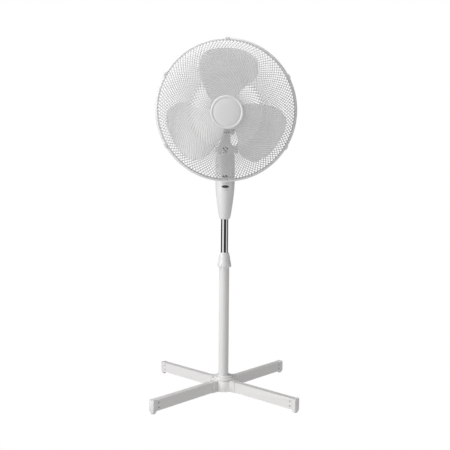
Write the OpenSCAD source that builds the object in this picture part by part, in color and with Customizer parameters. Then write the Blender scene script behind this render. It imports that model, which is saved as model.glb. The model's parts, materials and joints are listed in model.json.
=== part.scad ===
// Pedestal fan with a cross base, a twist-lock pole, a tilting neck and a swinging head.
// The origin is on the floor under the pole, +Z is up, and the fan blows towards -Y.

/* [Base] */
// Distance from the pole's axis to the outer face of a leg's end cap
leg_reach = 300; // [280:5:320]
// Width of a leg bar
leg_w = 18; // [16:1:20]
// Height of a leg bar
leg_h = 32; // [30:1:34]
// Radius of the round hub
hub_r = 38.5; // [37:0.5:40]

/* [Poles] */
// Outer radius of the painted outer pole
outer_pole_r = 16; // [15.5:0.1:16.2]
// Outer radius of the chromed inner pole
inner_pole_r = 12; // [11.5:0.1:12]
// Height of the outer pole's top end above the floor
outer_pole_top = 425; // [400:5:430]

/* [Control column] */
// Height of the column's lower end above the floor
box_z = 557; // [555:1:560]
// Largest radius of the column
box_r = 30.8; // [30.5:0.1:31]

/* [Head] */
// Height of the tilt axis above the floor
tilt_z = 781; // [781:1:790]
// How far the head points down at rest, in degrees
head_pitch = 11; // [5:1:13]
// Height of the fan's axis above the tilt axis, along the neck
axis_up = 124.5; // [124:0.5:126]
// Outer radius of the guard's rim
guard_r = 213; // [212.5:0.5:215]
// Radius that the blade tips sweep
blade_r = 185; // [170:1:188]
// Pitch of the blades, in degrees
blade_pitch = 12; // [9:1:13]

/* [Hidden] */
$fn = 96;

eps = 0.02;       // gap between pieces that are fixed to each other
run = 0.05;       // radial clearance of a running fit
over = 1;         // how far a cutting shape runs past what it cuts
leg_lift = 8;
leg_wall = 1.5;
leg_end = leg_reach - 10;
leg_angles = [-135, -45, 135, 45];
sleeve_wall = 1.4;
sleeve_end = hub_r + 19.5;
hub_top = leg_lift + leg_h + sleeve_wall;
peg_x = leg_reach - 22;
screw_x = hub_r + 10;
pad_x = leg_reach - 8;
pole_wall = 1.2;
outer_pole_in = outer_pole_r - pole_wall;
socket_z = 20;
inner_wall = 1;
inner_pole_z = 212;
inner_pole_top = 636;
box_top = 766;
shell_wall = 2;
screw_z = [652, 728];
button_z = [661, 693];
button_half = [[11.3, 3.8], [9.8, 3.3]];
button_gap = 0.35;
board_y = -13;
switch_front = -18.2;
pin_r = 4;
cheek_x = 27;
mouth_r = 9.7;
neck_r = 15.8;
neck_top = 58;
pivot_r = 6;
boss_z = neck_top + 0.5;
anchor_x = 22;
crank_x = 19.5;
crank_y = 78;
crank_r = 14;
link_z = [58.5, 61.5];
disc_z = [65, 69];
rod_r = 3;
cover_r = 51;
core_r = 40;
rotor_r = 22;
shaft_r = 4;
bolt_ring_r = 45;
worm_r = 4.5;
worm_throw = 0.8;
worm_pitch = PI;
wheel_teeth = 30;
blade_plane = 92;
camber_r = 400;
blade_t = 2.2;
blade_hub_r = 42;
blade_hub_z = [86, 136];
blade_pin_z = 92;
blade_angles = [87, 207, 327];
clip_angles = [30, 90, 150, 210, 270, 330];
shoulder_r = 150;
shoulder_w = 57;
guard_wall = 2.2;
front_dome = [103, 39];
rear_dome = [97, -37];
guard_skirt_r = 207;
guard_ring = [205, guard_r - 2.5];
rim_z = [92.4, 108.4];
rim_lip_r = guard_skirt_r + 0.6;

function flip(line) = [for (i = [len(line) - 1:-1:0]) line[i]];

// Head frame: x to the right, -y forward along the fan's axis, z up along the neck
module on_head() translate([0, 0, tilt_z]) rotate([head_pitch, 0, 0]) children();
// Fan frame: z forward along the fan's axis, y up along the neck
module on_axis() on_head() translate([0, 0, axis_up]) rotate([90, 0, 0]) children();
module at_crank() on_head() translate([crank_x, crank_y, 0]) children();
module tube(ro, ri, z0, z1) {
    difference() {
        translate([0, 0, z0]) cylinder(r = ro, h = z1 - z0);
        translate([0, 0, z0 - over]) cylinder(r = ri, h = z1 - z0 + 2 * over);
    }
}
module rod(r, z0, z1) translate([0, 0, z0]) cylinder(r = r, h = z1 - z0);
module rod_x(r, x0, x1) translate([x0, 0, 0]) rotate([0, 90, 0]) cylinder(r = r, h = x1 - x0);
module rod_y(r, y0, y1) translate([0, y1, 0]) rotate([90, 0, 0]) cylinder(r = r, h = y1 - y0);
module brick(x0, x1, w, z0, z1) translate([x0, -w / 2, z0]) cube([x1 - x0, w, z1 - z0]);

// ---- Base ----
module base_hub() {
    color("whitesmoke") difference() {
        union() {
            rod(hub_r, 6.5, hub_top);
            for (a = leg_angles) rotate([0, 0, a])
                brick(hub_r - 9, sleeve_end, leg_w + 2 * sleeve_wall, 6.6, hub_top);
        }
        rod(outer_pole_r + eps, socket_z, hub_top + over);
        rod(4.3, 0, socket_z + over);
        rod(13, 0, 15);
        for (a = leg_angles) rotate([0, 0, a]) {
            brick(hub_r + 0.1, sleeve_end + over, leg_w + 0.1, leg_lift - run, leg_lift + leg_h + run);
            translate([screw_x, 0, 0]) rod(1.6, 0, leg_lift + over);
            for (x = [4, 8.5, 13]) for (s = [-1, 1])
                translate([hub_r + x, s * (leg_w / 2 + sleeve_wall), 5]) rod(0.8, 0, leg_h + 10);
        }
    }
}
module leg_bar(angle) {
    color("whitesmoke") rotate([0, 0, angle]) difference() {
        brick(hub_r + 0.15, leg_end, leg_w, leg_lift, leg_lift + leg_h);
        brick(hub_r - over, leg_end + over, leg_w - 2 * leg_wall,
              leg_lift + leg_wall, leg_lift + leg_h - leg_wall);
        for (z = [9, 23]) translate([peg_x, 0, leg_lift + z]) rod_y(2, -leg_w, leg_w);
        translate([screw_x, 0, 0]) rod(1.52, 0, leg_lift + 5);
    }
}
module leg_front_left() { leg_bar(leg_angles[0]); }
module leg_front_right() { leg_bar(leg_angles[1]); }
module leg_rear_left() { leg_bar(leg_angles[2]); }
module leg_rear_right() { leg_bar(leg_angles[3]); }
module leg_cap(angle) {
    inner = 2 * leg_wall + 2 * run;
    color("white") rotate([0, 0, angle]) {
        intersection() {
            union() {
                brick(leg_end + eps, leg_reach, leg_w + 1.6, leg_lift - 0.8, leg_lift + leg_h + 0.8);
                brick(leg_end - 4, leg_reach - 2, 14, 2, leg_lift - run);
            }
            translate([leg_reach - 30, 0, 0]) rod(30, 0, 60);
        }
        brick(leg_end - 26, leg_end + over, leg_w - inner,
              leg_lift + leg_wall + run, leg_lift + leg_h - leg_wall - run);
        for (z = [9, 23]) translate([peg_x, 0, leg_lift + z]) rod_y(1.95, -leg_w / 2, leg_w / 2);
    }
}
module leg_cap_front_left() { leg_cap(leg_angles[0]); }
module leg_cap_front_right() { leg_cap(leg_angles[1]); }
module leg_cap_rear_left() { leg_cap(leg_angles[2]); }
module leg_cap_rear_right() { leg_cap(leg_angles[3]); }
module foot_pads() {
    color("dimgray") for (a = leg_angles) rotate([0, 0, a]) translate([pad_x, 0, 0]) rod(5.5, 0, 1.98);
}
module leg_screws() {
    color("silver") for (a = leg_angles) rotate([0, 0, a]) translate([screw_x, 0, 0]) {
        rod(3.2, 4.5, 6.58);
        rod(1.5, 5, leg_lift + 6);
    }
}
module base_cover() {
    step1 = hub_top + 4.5;
    step2 = step1 + 4.5;
    color("white") rotate_extrude() polygon([
        [outer_pole_r + 0.2, hub_top + eps], [hub_r + 0.5, hub_top + eps], [hub_r + 0.5, step1 - 1],
        [hub_r - 1, step1], [30, step1], [30, step2 - 1.2], [28.8, step2], [21, step2],
        [19.5, step2 + 3], [outer_pole_r + 0.2, step2 + 3]
    ]);
}
module pole_plug() {
    color("silver") tube(outer_pole_in - eps, 4 + eps, 22, 50);
}
module base_bolt() {
    color("silver") {
        rod(4, 13, 46);
        translate([0, 0, 8]) cylinder(r = 7.4, h = 5.5, $fn = 6);
    }
    color("silver") tube(11, 4.2, 13.52, 15 - eps);
}

// ---- Poles ----
module outer_pole() {
    color("white") tube(outer_pole_r, outer_pole_in, socket_z + eps, outer_pole_top);
}
module pole_bush() {
    z = outer_pole_top;
    color("gainsboro") difference() {
        rotate_extrude() polygon([
            [inner_pole_r + run, z - 40], [outer_pole_in - eps, z - 40], [outer_pole_in - eps, z + eps],
            [outer_pole_r - 0.1, z + eps], [outer_pole_r - 0.1, z + 6], [13.2, z + 19],
            [inner_pole_r + run, z + 19]
        ]);
        for (a = [0, 60, 120]) rotate([0, 0, a]) brick(-20, 20, 1.5, z + 7, z + 20);
    }
}
module height_collar() {
    z = outer_pole_top;
    color("white") difference() {
        rotate_extrude() polygon([
            [21, z - 22], [22.4, z - 20.5], [22.7, z - 17], [20.6, z - 7], [18.6, z + 2],
            [17.6, z + 10], [16.4, z + 15], [15, z + 22], [13.6, z + 24.5],
            [inner_pole_r + 0.3, z + 24.5], [inner_pole_r + 0.3, z + 20.5],
            [13.8, z + 19.7], [16.5, z + 7], [16.5, z - 22]
        ]);
        for (i = [0:7]) rotate([0, 0, i * 45 + 22.5]) translate([24.3, 0, 0]) rod(3.4, z - 30, z - 1);
    }
}
module inner_pole() {
    color("lightgray") tube(inner_pole_r, inner_pole_r - inner_wall, inner_pole_z, inner_pole_top);
}
module pole_foot() {
    color("dimgray") difference() {
        union() {
            rod(outer_pole_in - 0.07, inner_pole_z - 14, inner_pole_z - eps);
            rod(inner_pole_r - inner_wall - 0.05, inner_pole_z - 2, inner_pole_z + 20);
        }
        rod(7, inner_pole_z - 20, inner_pole_z + 30);
    }
}

// ---- Control column ----
box_line = [
    [14.2, box_z], [16.4, box_z + 3], [18.4, box_z + 9], [20.3, box_z + 18], [22.2, box_z + 31],
    [24.4, box_z + 46], [26.6, box_z + 63], [28.6, box_z + 80], [30.1, box_z + 97],
    [box_r, box_z + 116], [box_r, box_top - 26], [box_r - 0.5, box_top - 8], [box_r - 1.7, box_top - 3],
    [box_r - 4.5, box_top]
];
module box_solid() rotate_extrude() polygon(concat([[0, box_z]], box_line, [[0, box_top]]));
module box_shell() {
    inner = [for (p = box_line) if (p[1] > box_z + 5 && p[1] < box_top - 2.5) [p[0] - shell_wall, p[1]]];
    difference() {
        box_solid();
        rotate_extrude() polygon(concat([[0, box_z + 5], [15.2, box_z + 5]], inner,
                                        [[box_r - 5, box_top - 3], [0, box_top - 3]]));
        rod(inner_pole_r + 0.1, box_z - over, box_z + 6);
        rod(7.6, box_top - 5, box_top + over);
    }
}
module at_box_screws() {
    for (x = [-17, 17]) for (z = screw_z) translate([x, 0, z]) children();
}
module oval_y(half, y0, y1) {
    translate([0, y1, 0]) rotate([90, 0, 0]) linear_extrude(y1 - y0)
        polygon([for (i = [0:35]) [half[0] * cos(i * 10), half[1] * sin(i * 10)]]);
}
module box_front() {
    color("white") difference() {
        union() {
            difference() {
                box_shell();
                translate([-50, -run, box_z - 5]) cube([100, 60, 230]);
            }
            intersection() {
                at_box_screws() rod_y(3.4, -26, -run);
                box_solid();
            }
        }
        at_box_screws() rod_y(1.52, -13, over);
        for (i = [0, 1]) translate([0, 0, button_z[i]])
            oval_y([button_half[i][0] + button_gap, button_half[i][1] + button_gap], -40, -15);
    }
}
module box_rear() {
    color("white") difference() {
        union() {
            difference() {
                box_shell();
                translate([-50, run - 60, box_z - 5]) cube([100, 60, 230]);
            }
            intersection() {
                at_box_screws() rod_y(5, run, 26);
                box_solid();
            }
        }
        at_box_screws() rod_y(1.65, -over, 40);
        at_box_screws() rod_y(3.6, 8, 40);
        translate([0, 0, box_z + 55]) rod_y(6 + eps, 10, 40);
    }
}
module box_screws() {
    color("silver") at_box_screws() {
        rod_y(1.5, -12, 9);
        rod_y(3.3, 8 + eps, 10.4);
    }
}
module control_board() {
    color("seagreen") {
        translate([-12.5, board_y, 640]) cube([25, 1.6, 86]);
        for (z = button_z) translate([0, 0, z]) {
            translate([-3, board_y - 3.6, -3]) cube([6, 4, 6]);
            rod_y(1.5, switch_front, board_y - 3);
        }
    }
}
module capacitor() {
    color("dimgray") translate([-12, -6, 682]) cube([24, 13, 30]);
}
module cord_inlet() {
    color("white") translate([0, 0, box_z + 55]) difference() {
        union() {
            rod_y(6, 19, 33);
            rod_y(8, 27, 29.2);
        }
        rod_y(3.6, 10, 40);
    }
}
module pole_clamp() {
    color("gainsboro") {
        difference() {
            union() {
                rod(15.4, box_z + 25, inner_pole_top - 4);
                rod(20, inner_pole_top - 10, inner_pole_top - 6);
            }
            rod(inner_pole_r + eps, box_z, inner_pole_top + over);
        }
    }
}
module tilt_bracket() {
    color("gray") difference() {
        union() {
            translate([0, 0, tilt_z]) sphere(r = 9.2);
            rod(7.4, 742, tilt_z);
            rod(23, 738, 742.5);
        }
        translate([0, 0, tilt_z]) rod_x(pin_r + eps, -20, 20);
    }
}
module tilt_pin() {
    color("silver") translate([0, 0, tilt_z]) {
        rod_x(pin_r, -cheek_x - 3, cheek_x + 11);
        rod_x(7.5, -cheek_x - 4.4, -cheek_x - 0.4);
    }
}
module push_button(i) {
    color("dimgray") translate([0, 0, button_z[i]]) {
        intersection() {
            oval_y(button_half[i], -32, -20);
            rotate_extrude() polygon([[0, -20], [box_r + 0.9, -20], [box_r + 0.9, 20], [0, 20]]);
        }
        intersection() {
            oval_y([button_half[i][0] + 1.4, button_half[i][1] + 1.4], 6 - box_r, -20);
            rod(box_r - 2.8, -20, 20);
        }
        rod_y(2, -21, -20);
    }
}
module button_lower() { push_button(0); }
module button_upper() { push_button(1); }
module tilt_knob() {
    color("white") translate([cheek_x + 0.4, 0, tilt_z]) difference() {
        union() {
            rod_x(8, 0, 13);
            for (a = [45, 225]) rotate([a, 0, 0]) translate([2, -3, 0]) cube([10, 6, 13]);
        }
        rod_x(pin_r + run, -over, 11.2);
    }
}

// ---- Neck ----
module tilt_neck() {
    color("white") on_head() difference() {
        union() {
            intersection() {
                rotate([90, 0, 0]) linear_extrude(60, center = true) polygon([
                    [-cheek_x, -15], [cheek_x, -15], [cheek_x, 5], [neck_r - 0.4, 26], [neck_r - 0.4, 40],
                    [0.4 - neck_r, 40], [0.4 - neck_r, 26], [-cheek_x, 5]
                ]);
                union() {
                    rod_x(14, -40, 40);
                    brick(-40, 40, 27, 0, 45);
                }
            }
            rod(neck_r, 24, neck_top);
            brick(8, anchor_x, 9, 50, neck_top - 0.6);
            translate([anchor_x, 0, 0]) rod(6.5, 50, neck_top - 0.6);
        }
        brick(-mouth_r, mouth_r, 60, -20, 0);
        rod_y(mouth_r, -30, 30);
        rod_x(pin_r + run, -40, 40);
        rod(pivot_r + run, 22, neck_top + over);
        translate([anchor_x, 0, 0]) rod(2.5 + eps, 44, neck_top + over);
    }
}
module link_pin() {
    color("silver") on_head() translate([anchor_x, 0, 0]) {
        rod(2.5, 46, 63);
        rod(4.4, link_z[1] + 0.4, 64);
    }
}

// ---- Swing drive ----
module swing_pivot() {
    color("silver") on_head() rod(pivot_r, 24, axis_up - 44);
}
module gearbox_housing() {
    color("gainsboro") on_head() difference() {
        translate([-9, 60, axis_up - 9]) cube([47, 36, 18]);
        translate([-7, 62, axis_up - 7]) cube([43.3, 32, 14]);
        translate([0, 0, axis_up]) rod_y(6, 50, 63);
        translate([crank_x, crank_y, 0]) rod(rod_r + run, 100, 150);
    }
}
module worm_wheel() {
    root = 13.8;
    tip = 15.5;
    step = 360 / wheel_teeth;
    color("ivory") at_crank() translate([0, 0, axis_up]) difference() {
        union() {
            translate([0, 0, -2.5]) linear_extrude(5) polygon([
                for (i = [0:wheel_teeth - 1]) for (c = [[root, -0.26], [tip, -0.1], [tip, 0.1], [root, 0.26]])
                    [c[0] * cos((i + c[1]) * step), c[0] * sin((i + c[1]) * step)]
            ]);
            rod(7, -6.5, 6.5);
        }
        rod(rod_r + run, -20, 20);
    }
}
module crank_shaft() {
    color("silver") at_crank() {
        rod(rod_r, disc_z[0] + over, 176);
        rod(18, disc_z[0], disc_z[1]);
        translate([crank_r, 0, 0]) rod(2.5, link_z[1] + 0.6, disc_z[0] + over);
    }
}
module swing_knob() {
    color("white") at_crank() difference() {
        union() {
            rod(7.6, 166, 182);
            rod(8.6, 182, 188);
        }
        rod(rod_r + run, 160, 183.5);
    }
}
module link_arm() {
    angle = atan2(crank_y, crank_x + crank_r - anchor_x);
    reach = norm([crank_y, crank_x + crank_r - anchor_x]);
    color("silver") on_head() translate([anchor_x, 0, 0]) rotate([0, 0, angle]) difference() {
        union() {
            rod(6, link_z[0], link_z[1]);
            translate([reach, 0, 0]) rod(6, link_z[0], link_z[1]);
            brick(0, reach, 8, link_z[0], link_z[1]);
        }
        rod(2.5 + run, 50, 70);
        translate([reach, 0, 0]) rod(3, 50, 70);
    }
}

// ---- Motor ----
module motor_bracket() {
    difference() {
        union() {
            tube(42.5, core_r + run, 22, 41);
            rod(42.5, 38, 42);
            rod(11, 34, 48);
            for (a = [45:90:315]) rotate([0, 0, a]) {
                translate([bolt_ring_r, 0, 0]) rod(3.2, 34, 42);
                brick(40.5, bolt_ring_r, 5, 34, 42);
            }
        }
        rod(8 + eps, 30, 50);
        for (a = [0:45:315]) rotate([0, 0, a]) translate([25, 0, 0]) rod(6, 30, 50);
        for (a = [45:90:315]) rotate([0, 0, a]) translate([bolt_ring_r, 0, 0]) rod(1.9, 30, 50);
    }
}
module motor_front_bracket() { color("silver") on_axis() motor_bracket(); }
module motor_rear_bracket() {
    color("silver") on_axis() difference() {
        union() {
            mirror([0, 0, 1]) motor_bracket();
            translate([-10, -47.5, -41]) cube([20, 5.5, 55]);
            rod_y(14, boss_z - axis_up, -44);
            for (x = [15, 34.5]) translate([x, 0, 0]) rod(3, -60 + eps, -40);
        }
        rod_y(pivot_r + eps, -80, -30);
    }
}
module stator_core() {
    color("slategray") on_axis() difference() {
        tube(core_r, rotor_r + 0.35, -25, 25);
        for (a = [0:22.5:337.5]) rotate([0, 0, a]) translate([29, 0, 0]) rod(3.2, -30, 30);
    }
}
module stator_windings() {
    color("peru") on_axis() for (z = [25 + run, -36]) rotate_extrude() translate([0, z]) polygon([
        [24.6, 0], [37, 0], [37.6, 4], [35, 9.5], [31, 10.9], [27, 9.5], [24.6, 5]
    ]);
}
module motor_bushes() {
    color("goldenrod") on_axis() {
        tube(8, shaft_r + run, 35, 47);
        tube(8, shaft_r + run, -47, -35);
    }
}
module motor_bolts() {
    color("silver") on_axis() for (a = [45:90:315]) rotate([0, 0, a]) translate([bolt_ring_r, 0, 0]) {
        rod(1.8, -44, 44);
        rod(3, 42 + eps, 44.4);
        rod(3, -44.4, -42 - eps);
    }
}
module saddle_hole() rod_y(14.5, -70, -30);
module motor_front_cover() {
    color("white") on_axis() difference() {
        rotate_extrude() polygon([
            [6, 50], [6, 66], [18, 66], [18, 52], [43.5, 52], [48.5, 49.5], [cover_r, 45], [cover_r, -4.9],
            [cover_r - 2, -4.9], [cover_r - 2, 44.6], [47.6, 47.8], [43.2, 50]
        ]);
        saddle_hole();
    }
}
module motor_rear_cover() {
    outer = [
        [cover_r, -5.1], [cover_r, -66], [50, -77], [47.8, -88], [44.5, -97], [40, -103],
        [34, -106], [0, -106]
    ];
    inner = [
        [0, -104], [33.6, -104], [38.8, -101.4], [42.8, -95.8], [45.8, -87.2], [48, -76.5],
        [cover_r - 2, -65.7], [cover_r - 2, -5.1]
    ];
    color("white") on_axis() difference() {
        rotate_extrude() polygon(concat(outer, inner));
        saddle_hole();
        translate([crank_x, 0, -crank_y]) rod_y(5, -60, -20);
        translate([crank_x, 0, -crank_y]) rod_y(9.2, 20, 60);
        for (a = [0:15:345]) rotate([0, 0, a]) brick(12, 29, 2.4, -110, -100);
        rod(2, -110, -100);
    }
}
module cover_screw() {
    color("silver") on_axis() {
        rod(4.2, -108, -106 - eps);
        rod(1.9, -107, -96);
    }
}
module rotor() {
    color("slategray") on_axis() tube(rotor_r, shaft_r + eps, -26, 26);
}
module motor_shaft() {
    color("silver") on_axis() difference() {
        union() {
            rod(shaft_r, -58, 144);
            rod(rod_r, -90, -57);
            translate([0, 0, 7 - crank_y]) mirror([0, 0, 1])
                rotate([0, 0, 180 - 360 * 7 / worm_pitch])
                    linear_extrude(14, twist = -360 * 14 / worm_pitch, slices = 48, $fn = 20)
                        translate([worm_throw, 0]) circle(r = worm_r);
        }
        translate([0, 0, blade_pin_z]) rod_x(1.52, -10, 10);
    }
}

// ---- Guard ----
// Profile of a guard's rounded shoulder, inset by a wall, as [radius, forward distance]
function dome(d, wall) = [
    for (i = [0:15:90]) [
        shoulder_r + (shoulder_w - wall) * sin(i),
        d[0] + (d[1] - sign(d[1]) * wall) * cos(i)
    ]
];
module guard_shell(d, inner_r, skirt) {
    flat = d[0] + d[1] + sign(d[1]) * 9.5;
    low = flat - sign(d[1]) * guard_wall;
    rotate_extrude() polygon(concat(
        [[inner_r, flat], [46, flat]], dome(d, 0), [[guard_skirt_r, skirt], [guard_ring[0] - 0.2, skirt]],
        flip(dome(d, guard_wall)), [[46, low], [inner_r, low]]
    ));
}
module guard_windows(z0) {
    for (zone = [[50, 108, 36], [112, 152, 60], [156, 203.5, 72]])
        for (i = [0:zone[2] - 1]) rotate([0, 0, i * 360 / zone[2]]) translate([0, 0, z0])
            linear_extrude(70) polygon([
                for (c = [[zone[0], -1], [zone[1], -1], [zone[1], 1], [zone[0], 1]])
                    [c[0], c[1] * (c[0] * tan(180 / zone[2]) - 1.1)]
            ]);
}
module front_guard() {
    color("whitesmoke") on_axis() difference() {
        union() {
            guard_shell(front_dome, 40, 101);
            tube(guard_ring[1], guard_ring[0], 100.2, 105.8);
        }
        guard_windows(front_dome[0] + 1.5);
    }
}
module rear_guard() {
    color("whitesmoke") on_axis() difference() {
        union() {
            guard_shell(rear_dome, 18.3, 99.5);
            tube(guard_ring[1], guard_ring[0], 94.8, 99.8);
        }
        guard_windows(rear_dome[0] - 71.5);
    }
}
module guard_rim() {
    r = guard_r;
    wall = 2.2;
    color("gainsboro") on_axis() rotate_extrude() polygon([
        [rim_lip_r, rim_z[0]], [r - 2, rim_z[0]], [r, rim_z[0] + 2], [r, rim_z[1] - 2],
        [r - 2, rim_z[1]], [rim_lip_r, rim_z[1]], [rim_lip_r, rim_z[1] - wall],
        [r - 2.4, rim_z[1] - wall], [r - 2.4, rim_z[0] + wall], [rim_lip_r, rim_z[0] + wall]
    ]);
}
module guard_clips() {
    r = guard_r;
    z = rim_z;
    gap = 0.05;
    color("white") on_axis() for (a = clip_angles) rotate([0, 0, a]) intersection() {
        rotate_extrude() polygon([
            [rim_lip_r, z[0] - 2], [r, z[0] - 2], [r + 2, z[0] + 0.2], [r + 2, z[1] - 0.2],
            [r, z[1] + 2], [rim_lip_r, z[1] + 2], [rim_lip_r, z[1] + gap], [r - 1.9, z[1] + gap],
            [r + 0.1, z[1] - 2], [r + 0.1, z[0] + 2], [r - 1.9, z[0] - gap], [rim_lip_r, z[0] - gap]
        ]);
        brick(200, 230, 13, 80, 120);
    }
}
module rear_guard_nut() {
    color("white") on_axis() difference() {
        union() {
            rod(26.5, 54.3, 63);
            for (a = [0:45:315]) rotate([0, 0, a]) translate([25.5, 0, 0]) rod(4.5, 54.3, 62);
        }
        rod(18 + eps, 50, 70);
    }
}
module badge() {
    color("white") on_axis() rotate_extrude() polygon([
        [0, 154.2], [38, 154.2], [39, 151.6], [48.4, 151.6], [49, 153], [48.6, 155], [46.8, 156.6],
        [44.4, 156.9], [42, 156], [40.6, 154.8], [39.5, 155.6], [34, 156.9], [22, 158], [0, 158.6]
    ]);
}

// ---- Blades ----
// Outline of one blade as [angle, radius]: its leading edge, its tip, then its trailing edge
blade_outline = [
    [-30, 38], [-32, 50], [-31, 75], [-35, 100], [-38.5, 121], [-37, 147], [-33, 160], [-30.5, 172],
    [-24, 183.5], [-17, 185], [-10, 185], [-3, 185], [4, 185], [11, 185], [18, 184.5], [23, 183.5],
    [27, 180], [31, 171], [34.5, 163], [38.4, 148], [44, 117], [48, 90], [53, 72], [56, 38]
];
module blade_plate() {
    k = blade_r / 185;
    intersection() {
        linear_extrude(120, center = true)
            polygon([for (p = blade_outline) k * p[1] * [cos(p[0]), sin(p[0])]]);
        rotate([blade_pitch, 0, 0]) translate([10, 0, camber_r]) rotate([0, 90, 0])
            tube(camber_r, camber_r - blade_t, 0, blade_r + 40);
    }
}
module fan_blade() {
    r = blade_hub_r;
    z = blade_hub_z;
    color("white") on_axis() difference() {
        union() {
            difference() {
                rod(r, z[0], z[1]);
                rod(r - 2, z[0] - over, z[1] - 2.5);
            }
            rod(9, z[0] + 2, z[1] - 1);
            for (a = blade_angles) rotate([0, 0, a]) difference() {
                translate([0, 0, blade_plane]) blade_plate();
                rod(r - 1, 50, 150);
            }
        }
        rod(shaft_r + eps, 80, 140);
        translate([0, 0, blade_pin_z]) rod_x(1.6, -12, 12);
    }
}
module drive_pin() {
    color("silver") on_axis() translate([0, 0, blade_pin_z]) rod_x(1.5, -8.5, 8.5);
}
module spinner() {
    color("white") on_axis() difference() {
        union() {
            rod(13, 136 + eps, 147);
            for (a = [0:60:300]) rotate([0, 0, a]) translate([12, 0, 0]) rod(3, 136 + eps, 146);
        }
        rod(shaft_r + eps, 130, 144.5);
    }
}

base_hub();
leg_front_left();
leg_front_right();
leg_rear_left();
leg_rear_right();
leg_cap_front_left();
leg_cap_front_right();
leg_cap_rear_left();
leg_cap_rear_right();
foot_pads();
leg_screws();
base_cover();
pole_plug();
base_bolt();
outer_pole();
pole_bush();
height_collar();
inner_pole();
pole_foot();
pole_clamp();
box_front();
box_rear();
box_screws();
control_board();
capacitor();
cord_inlet();
tilt_bracket();
tilt_pin();
button_upper();
button_lower();
tilt_knob();
tilt_neck();
link_pin();
swing_pivot();
motor_front_bracket();
motor_rear_bracket();
stator_core();
stator_windings();
motor_bushes();
motor_bolts();
motor_front_cover();
motor_rear_cover();
cover_screw();
gearbox_housing();
rear_guard();
rear_guard_nut();
front_guard();
guard_rim();
guard_clips();
badge();
fan_blade();
spinner();
drive_pin();
motor_shaft();
rotor();
worm_wheel();
crank_shaft();
swing_knob();
link_arm();
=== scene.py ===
"""Looks of the pedestal fan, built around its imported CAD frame."""

import json
import math

import bmesh
import bpy
from mathutils import Matrix, Vector


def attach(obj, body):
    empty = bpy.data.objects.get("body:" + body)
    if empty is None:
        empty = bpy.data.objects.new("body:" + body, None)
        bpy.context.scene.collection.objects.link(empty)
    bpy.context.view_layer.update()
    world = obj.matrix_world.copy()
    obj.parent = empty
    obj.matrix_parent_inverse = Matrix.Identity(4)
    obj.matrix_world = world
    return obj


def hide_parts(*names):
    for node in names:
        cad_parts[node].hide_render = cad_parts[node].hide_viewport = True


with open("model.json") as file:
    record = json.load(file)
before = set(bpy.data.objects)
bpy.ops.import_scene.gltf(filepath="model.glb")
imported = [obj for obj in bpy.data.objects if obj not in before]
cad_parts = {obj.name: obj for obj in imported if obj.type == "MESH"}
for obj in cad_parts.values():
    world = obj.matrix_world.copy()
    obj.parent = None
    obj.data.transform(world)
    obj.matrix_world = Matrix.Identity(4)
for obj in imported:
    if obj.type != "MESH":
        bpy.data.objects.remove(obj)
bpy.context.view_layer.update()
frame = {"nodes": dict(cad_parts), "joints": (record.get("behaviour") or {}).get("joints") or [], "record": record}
nodes = frame["nodes"]
joints = {j["name"]: j for j in frame["joints"]}
MM = 0.001

# ---- Head frame, worked out from the joints ----
TILT = Vector(joints["tilt"]["pos_m"])
UP = Vector(joints["swing"]["axis"]).normalized()
FORWARD = Vector(joints["blade_spin"]["axis"]).normalized()
RIGHT = UP.cross(FORWARD).normalized()
AXIS_UP = (Vector(joints["blade_spin"]["pos_m"]) - TILT).dot(UP)
FAN_CENTRE = TILT + UP * AXIS_UP


def fan_point(radius, angle, ahead):
    """A point round the fan's axis: angle is anticlockwise from the right, seen from the front."""
    side = RIGHT * math.cos(angle) + UP * math.sin(angle)
    return FAN_CENTRE + side * radius + FORWARD * ahead


# ---- Camera ----
CAMERA_DISTANCE = 1.916
CAMERA_HEIGHT = 0.61
CAMERA_AZIMUTH = math.radians(-1.3)
CAMERA_PITCH = 0.0294
CAMERA_YAW = -0.0367
CAMERA_ROLL = math.radians(0.56)
CAMERA_SHIFT = (-0.0479, -0.0102)
LENS_MM = 47.55


def make_camera():
    data = bpy.data.cameras.new("camera")
    data.lens = LENS_MM
    data.sensor_width = 36
    data.shift_x, data.shift_y = CAMERA_SHIFT
    camera = bpy.data.objects.new("camera", data)
    bpy.context.scene.collection.objects.link(camera)
    place = Matrix.Translation((
        math.sin(CAMERA_AZIMUTH) * CAMERA_DISTANCE,
        -math.cos(CAMERA_AZIMUTH) * CAMERA_DISTANCE,
        CAMERA_HEIGHT,
    ))
    turn = Matrix.Rotation(CAMERA_AZIMUTH + CAMERA_YAW, 4, "Z")
    pitch = Matrix.Rotation(math.pi / 2 - CAMERA_PITCH, 4, "X")
    roll = Matrix.Rotation(CAMERA_ROLL, 4, "Z")
    camera.matrix_world = place @ turn @ pitch @ roll
    bpy.context.scene.camera = camera


make_camera()


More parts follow.
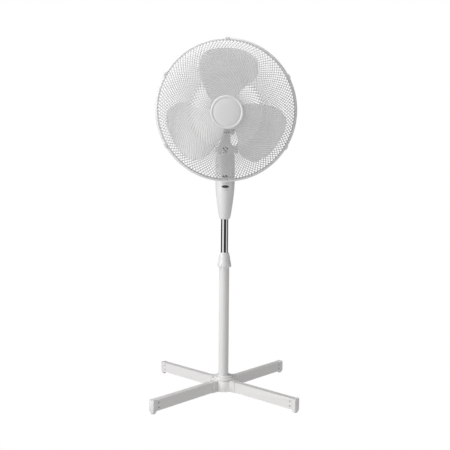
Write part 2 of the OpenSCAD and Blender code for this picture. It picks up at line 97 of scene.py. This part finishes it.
# ---- Materials ----
class Recipe:
    """A principled material with its nodes made by short calls."""

    def __init__(self, name, color, roughness, metallic=0.0):
        self.material = bpy.data.materials.new(name)
        self.material.use_nodes = True
        self.tree = self.material.node_tree
        self.shader = self.tree.nodes["Principled BSDF"]
        self.shader.inputs["Base Color"].default_value = (*color, 1)
        self.shader.inputs["Roughness"].default_value = roughness
        self.shader.inputs["Metallic"].default_value = metallic
        self.color = color
        self.coords = self.tree.nodes.new("ShaderNodeTexCoord")
        self.height = None

    def link(self, a, b):
        self.tree.links.new(a, b)

    def noise(self, scale, detail=3.0, stretch=(1, 1, 1)):
        mapping = self.tree.nodes.new("ShaderNodeMapping")
        mapping.inputs["Scale"].default_value = stretch
        self.link(self.coords.outputs["Object"], mapping.inputs["Vector"])
        node = self.tree.nodes.new("ShaderNodeTexNoise")
        node.inputs["Scale"].default_value = scale
        node.inputs["Detail"].default_value = detail
        self.link(mapping.outputs["Vector"], node.inputs["Vector"])
        return node.outputs["Fac"]

    def spread(self, value, low, high):
        """Stretches a noise's middle values over low to high."""
        node = self.tree.nodes.new("ShaderNodeMapRange")
        node.inputs["From Min"].default_value = 0.3
        node.inputs["From Max"].default_value = 0.7
        node.inputs["To Min"].default_value = low
        node.inputs["To Max"].default_value = high
        self.link(value, node.inputs["Value"])
        return node.outputs["Result"]

    def vary_roughness(self, scale, low, high, stretch=(1, 1, 1)):
        self.link(self.spread(self.noise(scale, 4, stretch), low, high), self.shader.inputs["Roughness"])

    def vary_color(self, scale, other, amount=1.0):
        mix = self.tree.nodes.new("ShaderNodeMix")
        mix.data_type = "RGBA"
        mix.inputs["A"].default_value = (*self.color, 1)
        mix.inputs["B"].default_value = (*other, 1)
        self.link(self.spread(self.noise(scale), 0, amount), mix.inputs["Factor"])
        self.link(mix.outputs["Result"], self.shader.inputs["Base Color"])

    def bump(self, scale, strength, depth, stretch=(1, 1, 1), detail=2.0):
        node = self.tree.nodes.new("ShaderNodeBump")
        node.inputs["Strength"].default_value = strength
        node.inputs["Distance"].default_value = depth
        self.link(self.noise(scale, detail, stretch), node.inputs["Height"])
        if self.height:
            self.link(self.height, node.inputs["Normal"])
        self.height = node.outputs["Normal"]
        self.link(self.height, self.shader.inputs["Normal"])


def make_materials():
    made = {}

    m = Recipe("painted_white", (0.87, 0.862, 0.848), 0.32)
    m.vary_color(9, (0.85, 0.843, 0.83))
    m.vary_roughness(60, 0.26, 0.38)
    m.bump(1400, 0.12, 0.0002)
    m.shader.inputs["Coat Weight"].default_value = 0.25
    made["painted_white"] = m

    m = Recipe("white_plastic", (0.88, 0.88, 0.872), 0.3)
    m.vary_color(14, (0.855, 0.855, 0.85))
    m.vary_roughness(90, 0.28, 0.33)
    m.bump(2600, 0.1, 0.0001)
    m.shader.inputs["Subsurface Weight"].default_value = 0.04
    m.shader.inputs["Subsurface Radius"].default_value = (0.002, 0.002, 0.002)
    made["white_plastic"] = m

    m = Recipe("blade_plastic", (0.95, 0.95, 0.945), 0.35)
    m.vary_color(14, (0.93, 0.93, 0.926))
    m.vary_roughness(90, 0.3, 0.42)
    m.bump(2400, 0.1, 0.0001)
    # Painted light: a faint white glow makes the blades lighter than the lamps alone make them.
    m.shader.inputs["Emission Color"].default_value = (1, 1, 1, 1)
    m.shader.inputs["Emission Strength"].default_value = 0.06
    made["blade_plastic"] = m

    m = Recipe("chrome", (0.9, 0.9, 0.91), 0.05, 1.0)
    m.vary_roughness(220, 0.03, 0.09, (1, 1, 0.02))
    m.bump(500, 0.02, 0.0001, (1, 1, 0.05))
    made["chrome"] = m

    m = Recipe("guard_wire", (0.75, 0.75, 0.747), 0.5)
    m.vary_color(40, (0.72, 0.72, 0.717))
    m.vary_roughness(160, 0.44, 0.56)
    m.bump(1800, 0.1, 0.0001)
    made["guard_wire"] = m

    m = Recipe("dark_plastic", (0.055, 0.055, 0.06), 0.4)
    m.vary_color(60, (0.075, 0.075, 0.08))
    m.vary_roughness(300, 0.34, 0.48)
    m.bump(3200, 0.2, 0.0001)
    made["dark_plastic"] = m

    m = Recipe("grey_plastic", (0.55, 0.55, 0.55), 0.45)
    m.vary_color(60, (0.6, 0.6, 0.6))
    m.bump(2600, 0.15, 0.0001)
    made["grey_plastic"] = m

    m = Recipe("rubber", (0.3, 0.3, 0.3), 0.8)
    m.vary_color(120, (0.24, 0.24, 0.24))
    m.bump(1500, 0.3, 0.0002)
    made["rubber"] = m

    m = Recipe("steel", (0.58, 0.58, 0.6), 0.3, 1.0)
    m.vary_roughness(400, 0.2, 0.42, (1, 1, 0.15))
    m.bump(1200, 0.08, 0.0001, (1, 1, 0.1))
    made["steel"] = m

    m = Recipe("cast_alloy", (0.62, 0.63, 0.64), 0.5, 1.0)
    m.vary_color(80, (0.54, 0.55, 0.56))
    m.bump(900, 0.35, 0.0003)
    made["cast_alloy"] = m

    m = Recipe("core_steel", (0.2, 0.21, 0.23), 0.5, 0.8)
    m.vary_roughness(200, 0.4, 0.6)
    m.bump(60, 0.4, 0.0004, (0.05, 30, 0.05))
    made["core_steel"] = m

    m = Recipe("copper", (0.62, 0.26, 0.1), 0.35, 0.9)
    m.vary_color(500, (0.48, 0.18, 0.07))
    m.bump(1600, 0.5, 0.0004)
    made["copper"] = m

    m = Recipe("bronze", (0.6, 0.42, 0.18), 0.45, 1.0)
    m.bump(2000, 0.3, 0.0002)
    made["bronze"] = m

    m = Recipe("board_green", (0.03, 0.2, 0.09), 0.4)
    m.vary_color(400, (0.05, 0.26, 0.12))
    m.bump(900, 0.15, 0.0001)
    made["board_green"] = m

    m = Recipe("nylon", (0.85, 0.82, 0.7), 0.4)
    m.vary_color(100, (0.8, 0.77, 0.64))
    m.bump(2000, 0.1, 0.0001)
    made["nylon"] = m

    m = Recipe("print_grey", (0.2, 0.2, 0.21), 0.5)
    m.vary_color(300, (0.26, 0.26, 0.27))
    made["print_grey"] = m
    return {name: recipe.material for name, recipe in made.items()}


MATERIALS = make_materials()


def dress_cad_nodes():
    """Gives each CAD node the material of the slot that the record names for it."""
    slots = {s["node"]: s["material_slot"] for s in frame["record"]["subparts"]}
    for name, node in nodes.items():
        node.data.materials.clear()
        node.data.materials.append(MATERIALS[slots[name]])


dress_cad_nodes()

# ---- Rounded edges of the CAD nodes ----
JOIN_DISTANCE = 0.01 * MM
FLAT_ANGLE = math.radians(0.5)
SHARP_ANGLE = math.radians(35)


def round_edges(name, width, segments=2, flat=False):
    """Rounds the sharp edges of a CAD node with modifiers, which leave its own mesh as it is.

    width is in mm. flat joins the triangles of flat faces first, so that none shows by its shading.
    """
    weld = nodes[name].modifiers.new("join_corners", "WELD")
    weld.merge_threshold = JOIN_DISTANCE
    if flat:
        merge = nodes[name].modifiers.new("flat_faces", "DECIMATE")
        merge.decimate_type = "DISSOLVE"
        merge.angle_limit = FLAT_ANGLE
    bevel = nodes[name].modifiers.new("round_edges", "BEVEL")
    bevel.width = width * MM
    bevel.segments = segments
    bevel.limit_method = "ANGLE"
    bevel.angle_limit = SHARP_ANGLE
    bevel.use_clamp_overlap = True
    bevel.harden_normals = True


LEGS = ("front_left", "front_right", "rear_left", "rear_right")
for leg in LEGS:
    round_edges("leg_" + leg, 1.6, 3, flat=True)
    round_edges("leg_cap_" + leg, 0.9, flat=True)
for name, width in (
    ("base_hub", 0.8), ("base_cover", 0.8), ("box_front", 0.7), ("box_rear", 0.7),
    ("guard_clips", 0.7), ("tilt_neck", 1.2),
    ("motor_front_cover", 0.8), ("motor_rear_cover", 0.6), ("rear_guard_nut", 1.0),
    ("swing_knob", 0.8), ("tilt_knob", 0.6), ("button_upper", 0.4), ("button_lower", 0.4),
    ("cord_inlet", 0.5), ("link_arm", 0.4), ("foot_pads", 0.4),
):
    round_edges(name, width)


# ---- Mesh helpers ----
TUBE_SIDE = Vector((0.3, 0.9, 0.2))  # a direction that no tube runs along


def finish_piece(mesh, name, body, replaced=(), slot="white_plastic", material=None):
    """Makes a smooth piece of a body. Its material is the slot's own, unless another is named."""
    for polygon in mesh.polygons:
        polygon.use_smooth = True
    mesh.materials.append(MATERIALS[material or slot])
    piece = bpy.data.objects.new(name, mesh)
    bpy.context.scene.collection.objects.link(piece)
    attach(piece, body)
    if replaced:
        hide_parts(*replaced)


def add_tube(bm, path, radius, sides=6, closed=False):
    """Sweeps a round wire along a path of points."""
    rings = []
    count = len(path)
    for i, p in enumerate(path):
        before = path[(i - 1) % count] if closed or i else p
        after = path[(i + 1) % count] if closed or i < count - 1 else p
        along = (after - before).normalized()
        across = along.cross(TUBE_SIDE).normalized()
        other = along.cross(across)
        rings.append([
            bm.verts.new(p + (across * math.cos(a) + other * math.sin(a)) * radius)
            for a in (2 * math.pi * k / sides for k in range(sides))
        ])
    last = count if closed else count - 1
    for i in range(last):
        a, b = rings[i], rings[(i + 1) % count]
        for k in range(sides):
            bm.faces.new((a[k], a[(k + 1) % sides], b[(k + 1) % sides], b[k]))
    if not closed:
        bm.faces.new(list(reversed(rings[0])))
        bm.faces.new(rings[-1])


def add_lathe(bm, profile, segments=96):
    """Turns a closed profile of (radius, ahead) round the fan's axis."""
    rings = []
    for r, ahead in profile:
        rings.append([
            bm.verts.new(fan_point(r, 2 * math.pi * k / segments, ahead)) for k in range(segments)
        ])
    for a, b in zip(rings, rings[1:] + rings[:1]):
        for k in range(segments):
            bm.faces.new((a[k], a[(k + 1) % segments], b[(k + 1) % segments], b[k]))


def to_mesh(bm, name):
    """Turns a finished bmesh into a mesh with its normals outwards."""
    bmesh.ops.recalc_face_normals(bm, faces=bm.faces)
    mesh = bpy.data.meshes.new(name)
    bm.to_mesh(mesh)
    bm.free()
    return mesh


# ---- Guards ----
WIRE_COUNT = 64
WIRE_STEPS = 22
WIRE_R = 1.05 * MM
BRANCH_START = 0.3  # share of the way out where a wire's branch leaves it
BRANCH_STEPS = 18
BRANCH_SPREAD = 0.16  # share of the way over which it moves half a gap aside
RING_R = 1.5 * MM
RING_STEPS = 96
GUARD_INNER = 46 * MM
GUARD_SHOULDER = 150 * MM  # the shallow middle ends here
GUARD_EDGE = 57 * MM  # width of the curved edge outside the shoulder
SHOULDER_SHARE = 0.62
GUARD_TURN = math.radians(76)


def guard_line(crown, flat, drop, t):
    """Radius and forward distance along a guard's profile, t from 0 at the middle to 1 at the rim."""
    if t < SHOULDER_SHARE:
        u = t / SHOULDER_SHARE
        return GUARD_INNER + (GUARD_SHOULDER - GUARD_INNER) * u, crown + (flat - crown) * u * u
    a = (t - SHOULDER_SHARE) / (1 - SHOULDER_SHARE) * math.pi / 2
    return GUARD_SHOULDER + GUARD_EDGE * math.sin(a), flat - drop * (1 - math.cos(a))


def make_guard(name, crown, flat, drop, twist, node):
    """Wires that slant outwards from a small ring to the rim, each with a branch part of the way out.

    crown and flat are the profile's distance ahead at the middle and at the shoulder, and drop is how
    far its edge falls back from there. twist is the angle that a wire turns through on its way out.
    """
    bm = bmesh.new()
    full = math.log((GUARD_SHOULDER + GUARD_EDGE) / GUARD_INNER)

    def point(t, turn):
        r, ahead = guard_line(crown, flat, drop, t)
        return fan_point(r, turn + twist * math.log(r / GUARD_INNER) / full, ahead)

    for i in range(WIRE_COUNT):
        turn = 2 * math.pi * i / WIRE_COUNT
        add_tube(bm, [point(k / WIRE_STEPS, turn) for k in range(WIRE_STEPS + 1)], WIRE_R)
        branch = []
        for k in range(BRANCH_STEPS + 1):
            t = BRANCH_START + (1 - BRANCH_START) * k / BRANCH_STEPS
            spread = min(1.0, (t - BRANCH_START) / BRANCH_SPREAD)
            half = math.pi / WIRE_COUNT * spread * spread * (3 - 2 * spread)
            branch.append(point(t, turn + half))
        add_tube(bm, branch, WIRE_R)
    for t in (0.0, 1.0):
        ring = [point(t, 2 * math.pi * k / RING_STEPS) for k in range(RING_STEPS)]
        add_tube(bm, ring, RING_R, closed=True)
    finish_piece(to_mesh(bm, name), name, "head", (node,), "guard_wire")


make_guard("front_guard_wires", 150.6 * MM, 141.5 * MM, 38 * MM, GUARD_TURN, "front_guard")
make_guard("rear_guard_wires", 53.4 * MM, 60.4 * MM, -36 * MM, -GUARD_TURN, "rear_guard")

RIM_FRONT = 108.4 * MM
RIM_BACK = 92.4 * MM
RIM_INNER = 205 * MM
RIM_OUTER = 213 * MM
RIM_EDGE = (6 * MM, 8 * MM)  # the front outer edge's rounding, across and along the axis
RIM_EDGE_STEPS = 8
RIM_SEGMENTS = 144


def make_guard_rim():
    """The band that clamps the two guards: flat in front, with a broad round outer edge."""
    bm = bmesh.new()
    profile = [(RIM_INNER, RIM_BACK + 0.6 * MM), (RIM_INNER, RIM_FRONT - 0.9 * MM)]
    profile += [(RIM_INNER + 0.3 * MM, RIM_FRONT - 0.2 * MM), (RIM_INNER + 1 * MM, RIM_FRONT)]
    for k in range(RIM_EDGE_STEPS + 1):
        a = math.radians(90 - 90 * k / RIM_EDGE_STEPS)
        profile.append((
            RIM_OUTER + RIM_EDGE[0] * (math.cos(a) - 1), RIM_FRONT + RIM_EDGE[1] * (math.sin(a) - 1),
        ))
    profile += [(RIM_OUTER, RIM_BACK + 2.5 * MM), (RIM_OUTER - 1 * MM, RIM_BACK + 0.8 * MM)]
    profile += [(RIM_OUTER - 2.6 * MM, RIM_BACK), (RIM_INNER + 0.6 * MM, RIM_BACK)]
    add_lathe(bm, profile, RIM_SEGMENTS)
    finish_piece(to_mesh(bm, "guard_rim_band"), "guard_rim_band", "head", ("guard_rim",))


make_guard_rim()

# ---- Fan blade ----
BLADE_RADIUS = 185 * MM
HUB_RADIUS = 42 * MM
BLADE_PLANE = 92 * MM
BLADE_ANGLES = [math.radians(a) for a in (87, 207, 327)]
BLADE_THICKNESS = 2.0 * MM
BLADE_SLOPE = (0.42, 0.2)  # how steeply the blade climbs round the hub, at its root and its tip
BLADE_CAMBER = 6 * MM
BLADE_STEPS = 30
EDGE_THICKNESS = 0.35  # share of the thickness left at the edges
EDGE_TAPER = 14  # the full thickness is reached a 14th of the way in from the edges
BLADE_ROOT = HUB_RADIUS - 2 * MM  # a little inside the hub's wall
ROW_CROWDING = 1.6  # above 1, the rows of points lie closer together towards the tip
# The edges' angles from the blade's own axis, as (radius in mm, degrees).
LEADING_EDGE = [
    (40, -30), (55, -32), (75, -32), (100, -35.5), (121, -38.5), (147, -37), (160, -33), (172, -29.5),
    (180, -26), (185, -14),
]
TRAILING_EDGE = [
    (40, 56), (72, 54), (90, 49), (117, 44), (148, 38.4), (163, 34.5), (171, 31), (179, 27.5),
    (183, 23), (185, 18),
]


def smooth_station(table, r):
    """Value at r on a smooth curve through the (r, value) stations."""
    last = len(table) - 1
    i = 0
    while i < last - 1 and r > table[i + 1][0]:
        i += 1
    (r0, v0), (r1, v1) = table[i], table[i + 1]
    before, after = table[max(i - 1, 0)], table[min(i + 2, last)]
    span = r1 - r0
    m0 = (v1 - before[1]) / (r1 - before[0]) * span
    m1 = (after[1] - v0) / (after[0] - r0) * span
    t = max(0.0, min(1.0, (r - r0) / span))
    return (
        v0 * (1 + 2 * t) * (1 - t) ** 2 + m0 * t * (1 - t) ** 2
        + v1 * t * t * (3 - 2 * t) - m1 * t * t * (1 - t)
    )


def blade_point(u, v):
    """A point of the blade's mid surface, u from leading to trailing edge, v from hub to tip."""
    out = 1 - (1 - v) ** ROW_CROWDING
    r = BLADE_ROOT + (BLADE_RADIUS - BLADE_ROOT) * out
    lead = math.radians(smooth_station(LEADING_EDGE, r / MM))
    trail = math.radians(smooth_station(TRAILING_EDGE, r / MM))
    angle = lead + (trail - lead) * u
    slope = BLADE_SLOPE[0] + (BLADE_SLOPE[1] - BLADE_SLOPE[0]) * out
    camber = -BLADE_CAMBER * (1 - (2 * u - 1) ** 2)
    return r, angle, BLADE_PLANE + r * angle * slope + camber


def blade_layer(bm, turn, side):
    """A grid of points on one face of the blade, which is thinner towards its edges."""
    grid = []
    for j in range(BLADE_STEPS + 1):
        row = []
        for i in range(BLADE_STEPS + 1):
            u, v = i / BLADE_STEPS, j / BLADE_STEPS
            r, angle, ahead = blade_point(u, v)
            inward = min(1, min(u, 1 - u, 1 - v) * EDGE_TAPER)
            thick = BLADE_THICKNESS * (EDGE_THICKNESS + (1 - EDGE_THICKNESS) * inward ** 0.5)
            row.append(bm.verts.new(fan_point(r, turn + angle, ahead + side * thick)))
        grid.append(row)
    return grid


def add_blade(bm, turn):
    """One closed blade: its two faces, joined by a wall all round."""
    layers = [blade_layer(bm, turn, side) for side in (-0.5, 0.5)]
    for grid in layers:
        for j in range(BLADE_STEPS):
            for i in range(BLADE_STEPS):
                bm.faces.new((grid[j][i], grid[j][i + 1], grid[j + 1][i + 1], grid[j + 1][i]))
    rim = [(0, i) for i in range(BLADE_STEPS)]
    rim += [(j, BLADE_STEPS) for j in range(BLADE_STEPS)]
    rim += [(BLADE_STEPS, i) for i in range(BLADE_STEPS, 0, -1)]
    rim += [(j, 0) for j in range(BLADE_STEPS, 0, -1)]
    low, high = layers
    for (j0, i0), (j1, i1) in zip(rim, rim[1:] + rim[:1]):
        bm.faces.new((low[j0][i0], low[j1][i1], high[j1][i1], high[j0][i0]))


def make_fan_blade():
    """Three twisted blades on a hollow hub, whose profile is (radius, ahead) in mm."""
    bm = bmesh.new()
    for turn in BLADE_ANGLES:
        add_blade(bm, turn)
    hub = HUB_RADIUS / MM
    add_lathe(bm, [(r * MM, ahead * MM) for r, ahead in (
        (4.1, 136), (20, 136), (hub - 6, 135.6), (hub - 2.5, 134.4), (hub - 0.8, 132.4),
        (hub - 0.2, 129.5), (hub, 118), (hub, 87), (hub - 0.3, 86), (hub - 1.7, 86), (hub - 2, 87),
        (hub - 2, 118), (hub - 3, 131), (hub - 8, 133.4), (10, 133.4), (9, 132), (9, 88), (4.1, 88),
    )])
    mesh = to_mesh(bm, "fan_blade")
    finish_piece(mesh, "fan_blade_moulded", "fan", ("fan_blade",), material="blade_plastic")


make_fan_blade()

# ---- Printed marks on the column ----
# Places and sizes are in mm.
COLUMN_RADIUS = 30.8
TAPER_TOP = 673  # the column narrows below this height
TAPER_HEIGHT = 23
TAPER_LOSS = 0.033  # share of the radius that it loses over that height
PRINT_LIFT = 0.12
STRIP_STEPS = 8
MARK_ROWS = ((672, 2.4), (650, 1.6))  # height, and how tall the tallest mark is
MARK_PLACES = (-7.5, -4.5, -1.5, 1.5, 4.5, 7.5)
MARK_WIDTH = 1.5
MARK_START = 0.5  # height of a row's first mark, as a share of its tallest
TOP_LINE = (0, 678.5, 11, 0.8)  # middle, height, width, thickness


def make_panel_marks():
    """Rows of graduations over and under the lower push button, and a line above them."""
    bm = bmesh.new()

    def strip(x, z, width, height):
        front = COLUMN_RADIUS * (1 - TAPER_LOSS * max(0.0, (TAPER_TOP - z) / TAPER_HEIGHT))
        rows = []
        for at in (z - height / 2, z + height / 2):
            row = []
            for k in range(STRIP_STEPS + 1):
                side = x + width * (k / STRIP_STEPS - 0.5)
                depth = math.sqrt(front * front - side * side) + PRINT_LIFT
                row.append(bm.verts.new((side * MM, -depth * MM, at * MM)))
            rows.append(row)
        for k in range(STRIP_STEPS):
            bm.faces.new((rows[0][k], rows[0][k + 1], rows[1][k + 1], rows[1][k]))

    for z, tall in MARK_ROWS:
        for k, x in enumerate(MARK_PLACES):
            grown = MARK_START + (1 - MARK_START) * k / (len(MARK_PLACES) - 1)
            strip(x, z, MARK_WIDTH, tall * grown)
    strip(*TOP_LINE)
    finish_piece(to_mesh(bm, "panel_marks"), "panel_marks", "column", material="print_grey")


make_panel_marks()

# ---- Details by the end caps ----
LEG_ANGLES = (-135, -45, 135, 45)
LEG_WIDTH = 18 * MM
PEG_REACH = 278 * MM
PEG_HEIGHTS = (17 * MM, 31 * MM)
PEG_SHADE_RADII = (1.2 * MM, 2.6 * MM)
PEG_SHADE_LIFT = 0.05 * MM
PEG_SHADE_STEPS = 20
LIP_REACH = 285.5 * MM
LIP_WAVE = 1.6 * MM
LIP_R = 0.75 * MM
LIP_BOTTOM = 9.5 * MM
LIP_TOP = 38.5 * MM
LIP_STEPS = 24


def add_peg_shade_ring(bm, centre, along):
    """A flat ring of painted shade on a leg's side, round one peg."""
    rings = []
    for r in PEG_SHADE_RADII:
        ring = []
        for k in range(PEG_SHADE_STEPS):
            a = 2 * math.pi * k / PEG_SHADE_STEPS
            ring.append(bm.verts.new(centre + along * r * math.cos(a) + Vector((0, 0, r * math.sin(a)))))
        rings.append(ring)
    inner, outer = rings
    for k in range(PEG_SHADE_STEPS):
        n = (k + 1) % PEG_SHADE_STEPS
        bm.faces.new((inner[k], inner[n], outer[n], outer[k]))


def lip_path(wall, along):
    """The wavy line of an end cap's lip, up a leg's side."""
    path = []
    for k in range(LIP_STEPS + 1):
        t = k / LIP_STEPS
        reach = LIP_REACH + LIP_WAVE * math.cos(4 * math.pi * t)
        path.append(along * reach + wall + Vector((0, 0, LIP_BOTTOM + (LIP_TOP - LIP_BOTTOM) * t)))
    return path


def make_cap_details():
    """On each leg's sides: rings of painted shade round the pegs that hold its end cap, and the cap's lip."""
    for leg, angle in zip(LEGS, LEG_ANGLES):
        along = Vector((math.cos(math.radians(angle)), math.sin(math.radians(angle)), 0))
        across = Vector((-along.y, along.x, 0))
        peg_shades = bmesh.new()
        lips = bmesh.new()
        for side in (-1, 1):
            wall = across * side * LEG_WIDTH / 2
            for height in PEG_HEIGHTS:
                centre = along * PEG_REACH + wall + across * side * PEG_SHADE_LIFT
                centre.z = height
                add_peg_shade_ring(peg_shades, centre, along)
            add_tube(lips, lip_path(wall, along), LIP_R, 8)
        name = "peg_shade_" + leg
        # The print grey of these rings is painted shade in the holes round the pegs.
        finish_piece(to_mesh(peg_shades, name), name, "base", material="print_grey")
        name = "cap_lips_" + leg
        finish_piece(to_mesh(lips, name), name, "base")


make_cap_details()

# ---- Painted shade round the neck's top ----
BAND_PROFILE = ((15.82, 52.5), (16.1, 52.7), (16.1, 57.6), (15.82, 57.9))  # (radius, up from TILT), mm
BAND_STEPS = 64


def make_neck_painted_shade():
    """A dark band of painted shade round the neck's top, where the head turns on it."""
    bm = bmesh.new()
    rings = []
    for r, up in BAND_PROFILE:
        ring = []
        for k in range(BAND_STEPS):
            a = 2 * math.pi * k / BAND_STEPS
            out = RIGHT * math.cos(a) + FORWARD * math.sin(a)
            ring.append(bm.verts.new(TILT + UP * up * MM + out * r * MM))
        rings.append(ring)
    for low, high in zip(rings, rings[1:]):
        for k in range(BAND_STEPS):
            n = (k + 1) % BAND_STEPS
            bm.faces.new((low[k], low[n], high[n], high[k]))
    # The dark plastic colour of this band is painted shade, not a part of its own.
    finish_piece(to_mesh(bm, "neck_painted_shade"), "neck_painted_shade", "neck", material="dark_plastic")


make_neck_painted_shade()

# ---- Stage: floor, world, lights ----
FLOOR_LIGHT = 0.58
FLOOR_HALF_SIZE = 30
WORLD_LIGHT = 0.15
PANEL_DISTANCE = 3.2
PANEL_HEIGHTS = (0.01, 2.6)
PANEL_STEPS = 12


def make_floor():
    """A white floor: it shows as plain white, and lights the object less strongly than that."""
    material = bpy.data.materials.new("floor")
    material.use_nodes = True
    tree = material.node_tree
    tree.nodes.remove(tree.nodes["Principled BSDF"])
    path = tree.nodes.new("ShaderNodeLightPath")
    strength = tree.nodes.new("ShaderNodeMapRange")
    strength.inputs["To Min"].default_value = FLOOR_LIGHT
    strength.inputs["To Max"].default_value = 1.0
    glow = tree.nodes.new("ShaderNodeEmission")
    tree.links.new(path.outputs["Is Camera Ray"], strength.inputs["Value"])
    tree.links.new(strength.outputs["Result"], glow.inputs["Strength"])
    tree.links.new(glow.outputs["Emission"], tree.nodes["Material Output"].inputs["Surface"])
    bm = bmesh.new()
    bmesh.ops.create_grid(bm, x_segments=4, y_segments=4, size=FLOOR_HALF_SIZE)
    mesh = to_mesh(bm, "floor")
    mesh.materials.append(material)
    floor = bpy.data.objects.new("floor", mesh)
    bpy.context.scene.collection.objects.link(floor)


def make_world():
    """White to the camera, and a weak even light on the object."""
    world = bpy.data.worlds.new("studio")
    bpy.context.scene.world = world
    world.use_nodes = True
    tree = world.node_tree
    background = tree.nodes["Background"]
    path = tree.nodes.new("ShaderNodeLightPath")
    mix = tree.nodes.new("ShaderNodeMix")
    mix.data_type = "RGBA"
    mix.inputs["A"].default_value = (WORLD_LIGHT, WORLD_LIGHT, WORLD_LIGHT, 1)
    mix.inputs["B"].default_value = (1.0, 1.0, 1.0, 1)
    tree.links.new(path.outputs["Is Camera Ray"], mix.inputs["Factor"])
    tree.links.new(mix.outputs["Result"], background.inputs["Color"])


def area_light(name, place, target, size, power):
    data = bpy.data.lights.new(name, "AREA")
    data.shape = "RECTANGLE"
    data.size, data.size_y = size
    data.energy = power
    light = bpy.data.objects.new(name, data)
    bpy.context.scene.collection.objects.link(light)
    light.location = place
    light.rotation_euler = (Vector(target) - Vector(place)).to_track_quat("-Z", "Y").to_euler()
    light.visible_camera = False


def reflection_panel(name, start, end, level):
    """An upright curved strip that only shows in reflections; angles are degrees right of the front."""
    material = bpy.data.materials.new(name)
    material.use_nodes = True
    tree = material.node_tree
    tree.nodes.remove(tree.nodes["Principled BSDF"])
    glow = tree.nodes.new("ShaderNodeEmission")
    glow.inputs["Strength"].default_value = level
    tree.links.new(glow.outputs["Emission"], tree.nodes["Material Output"].inputs["Surface"])
    bm = bmesh.new()
    columns = []
    for k in range(PANEL_STEPS + 1):
        a = math.radians(start + (end - start) * k / PANEL_STEPS)
        x, y = PANEL_DISTANCE * math.sin(a), -PANEL_DISTANCE * math.cos(a)
        columns.append([bm.verts.new((x, y, z)) for z in PANEL_HEIGHTS])
    for a, b in zip(columns, columns[1:]):
        bm.faces.new((a[0], b[0], b[1], a[1]))
    mesh = to_mesh(bm, name)
    mesh.materials.append(material)
    panel = bpy.data.objects.new(name, mesh)
    bpy.context.scene.collection.objects.link(panel)
    panel.visible_camera = False
    panel.visible_diffuse = False
    panel.visible_shadow = False
    panel.visible_transmission = False


make_floor()
make_world()
# name, place, target, size in metres, watts
area_light("key", (-3.0, -1.35, 1.5), (0, 0, 0.7), (1.4, 2.0), 63)
area_light("front", (0.1, -3.6, 0.8), (0, 0, 0.6), (2.4, 2.4), 18)
area_light("top", (-0.5, -0.3, 2.9), (0, 0, 0.4), (2.0, 2.0), 42)
# name, start and end in degrees, brightness
reflection_panel("dark_strip", -24, 44, 0.02)
reflection_panel("white_strip_left", -78, -26, 0.8)
reflection_panel("white_strip_right", 50, 74, 0.66)
reflection_panel("grey_strip_right", 74, 130, 0.1)
reflection_panel("dark_strip_left", -165, -84, 0.01)
bpy.context.scene.view_settings.view_transform = "Standard"
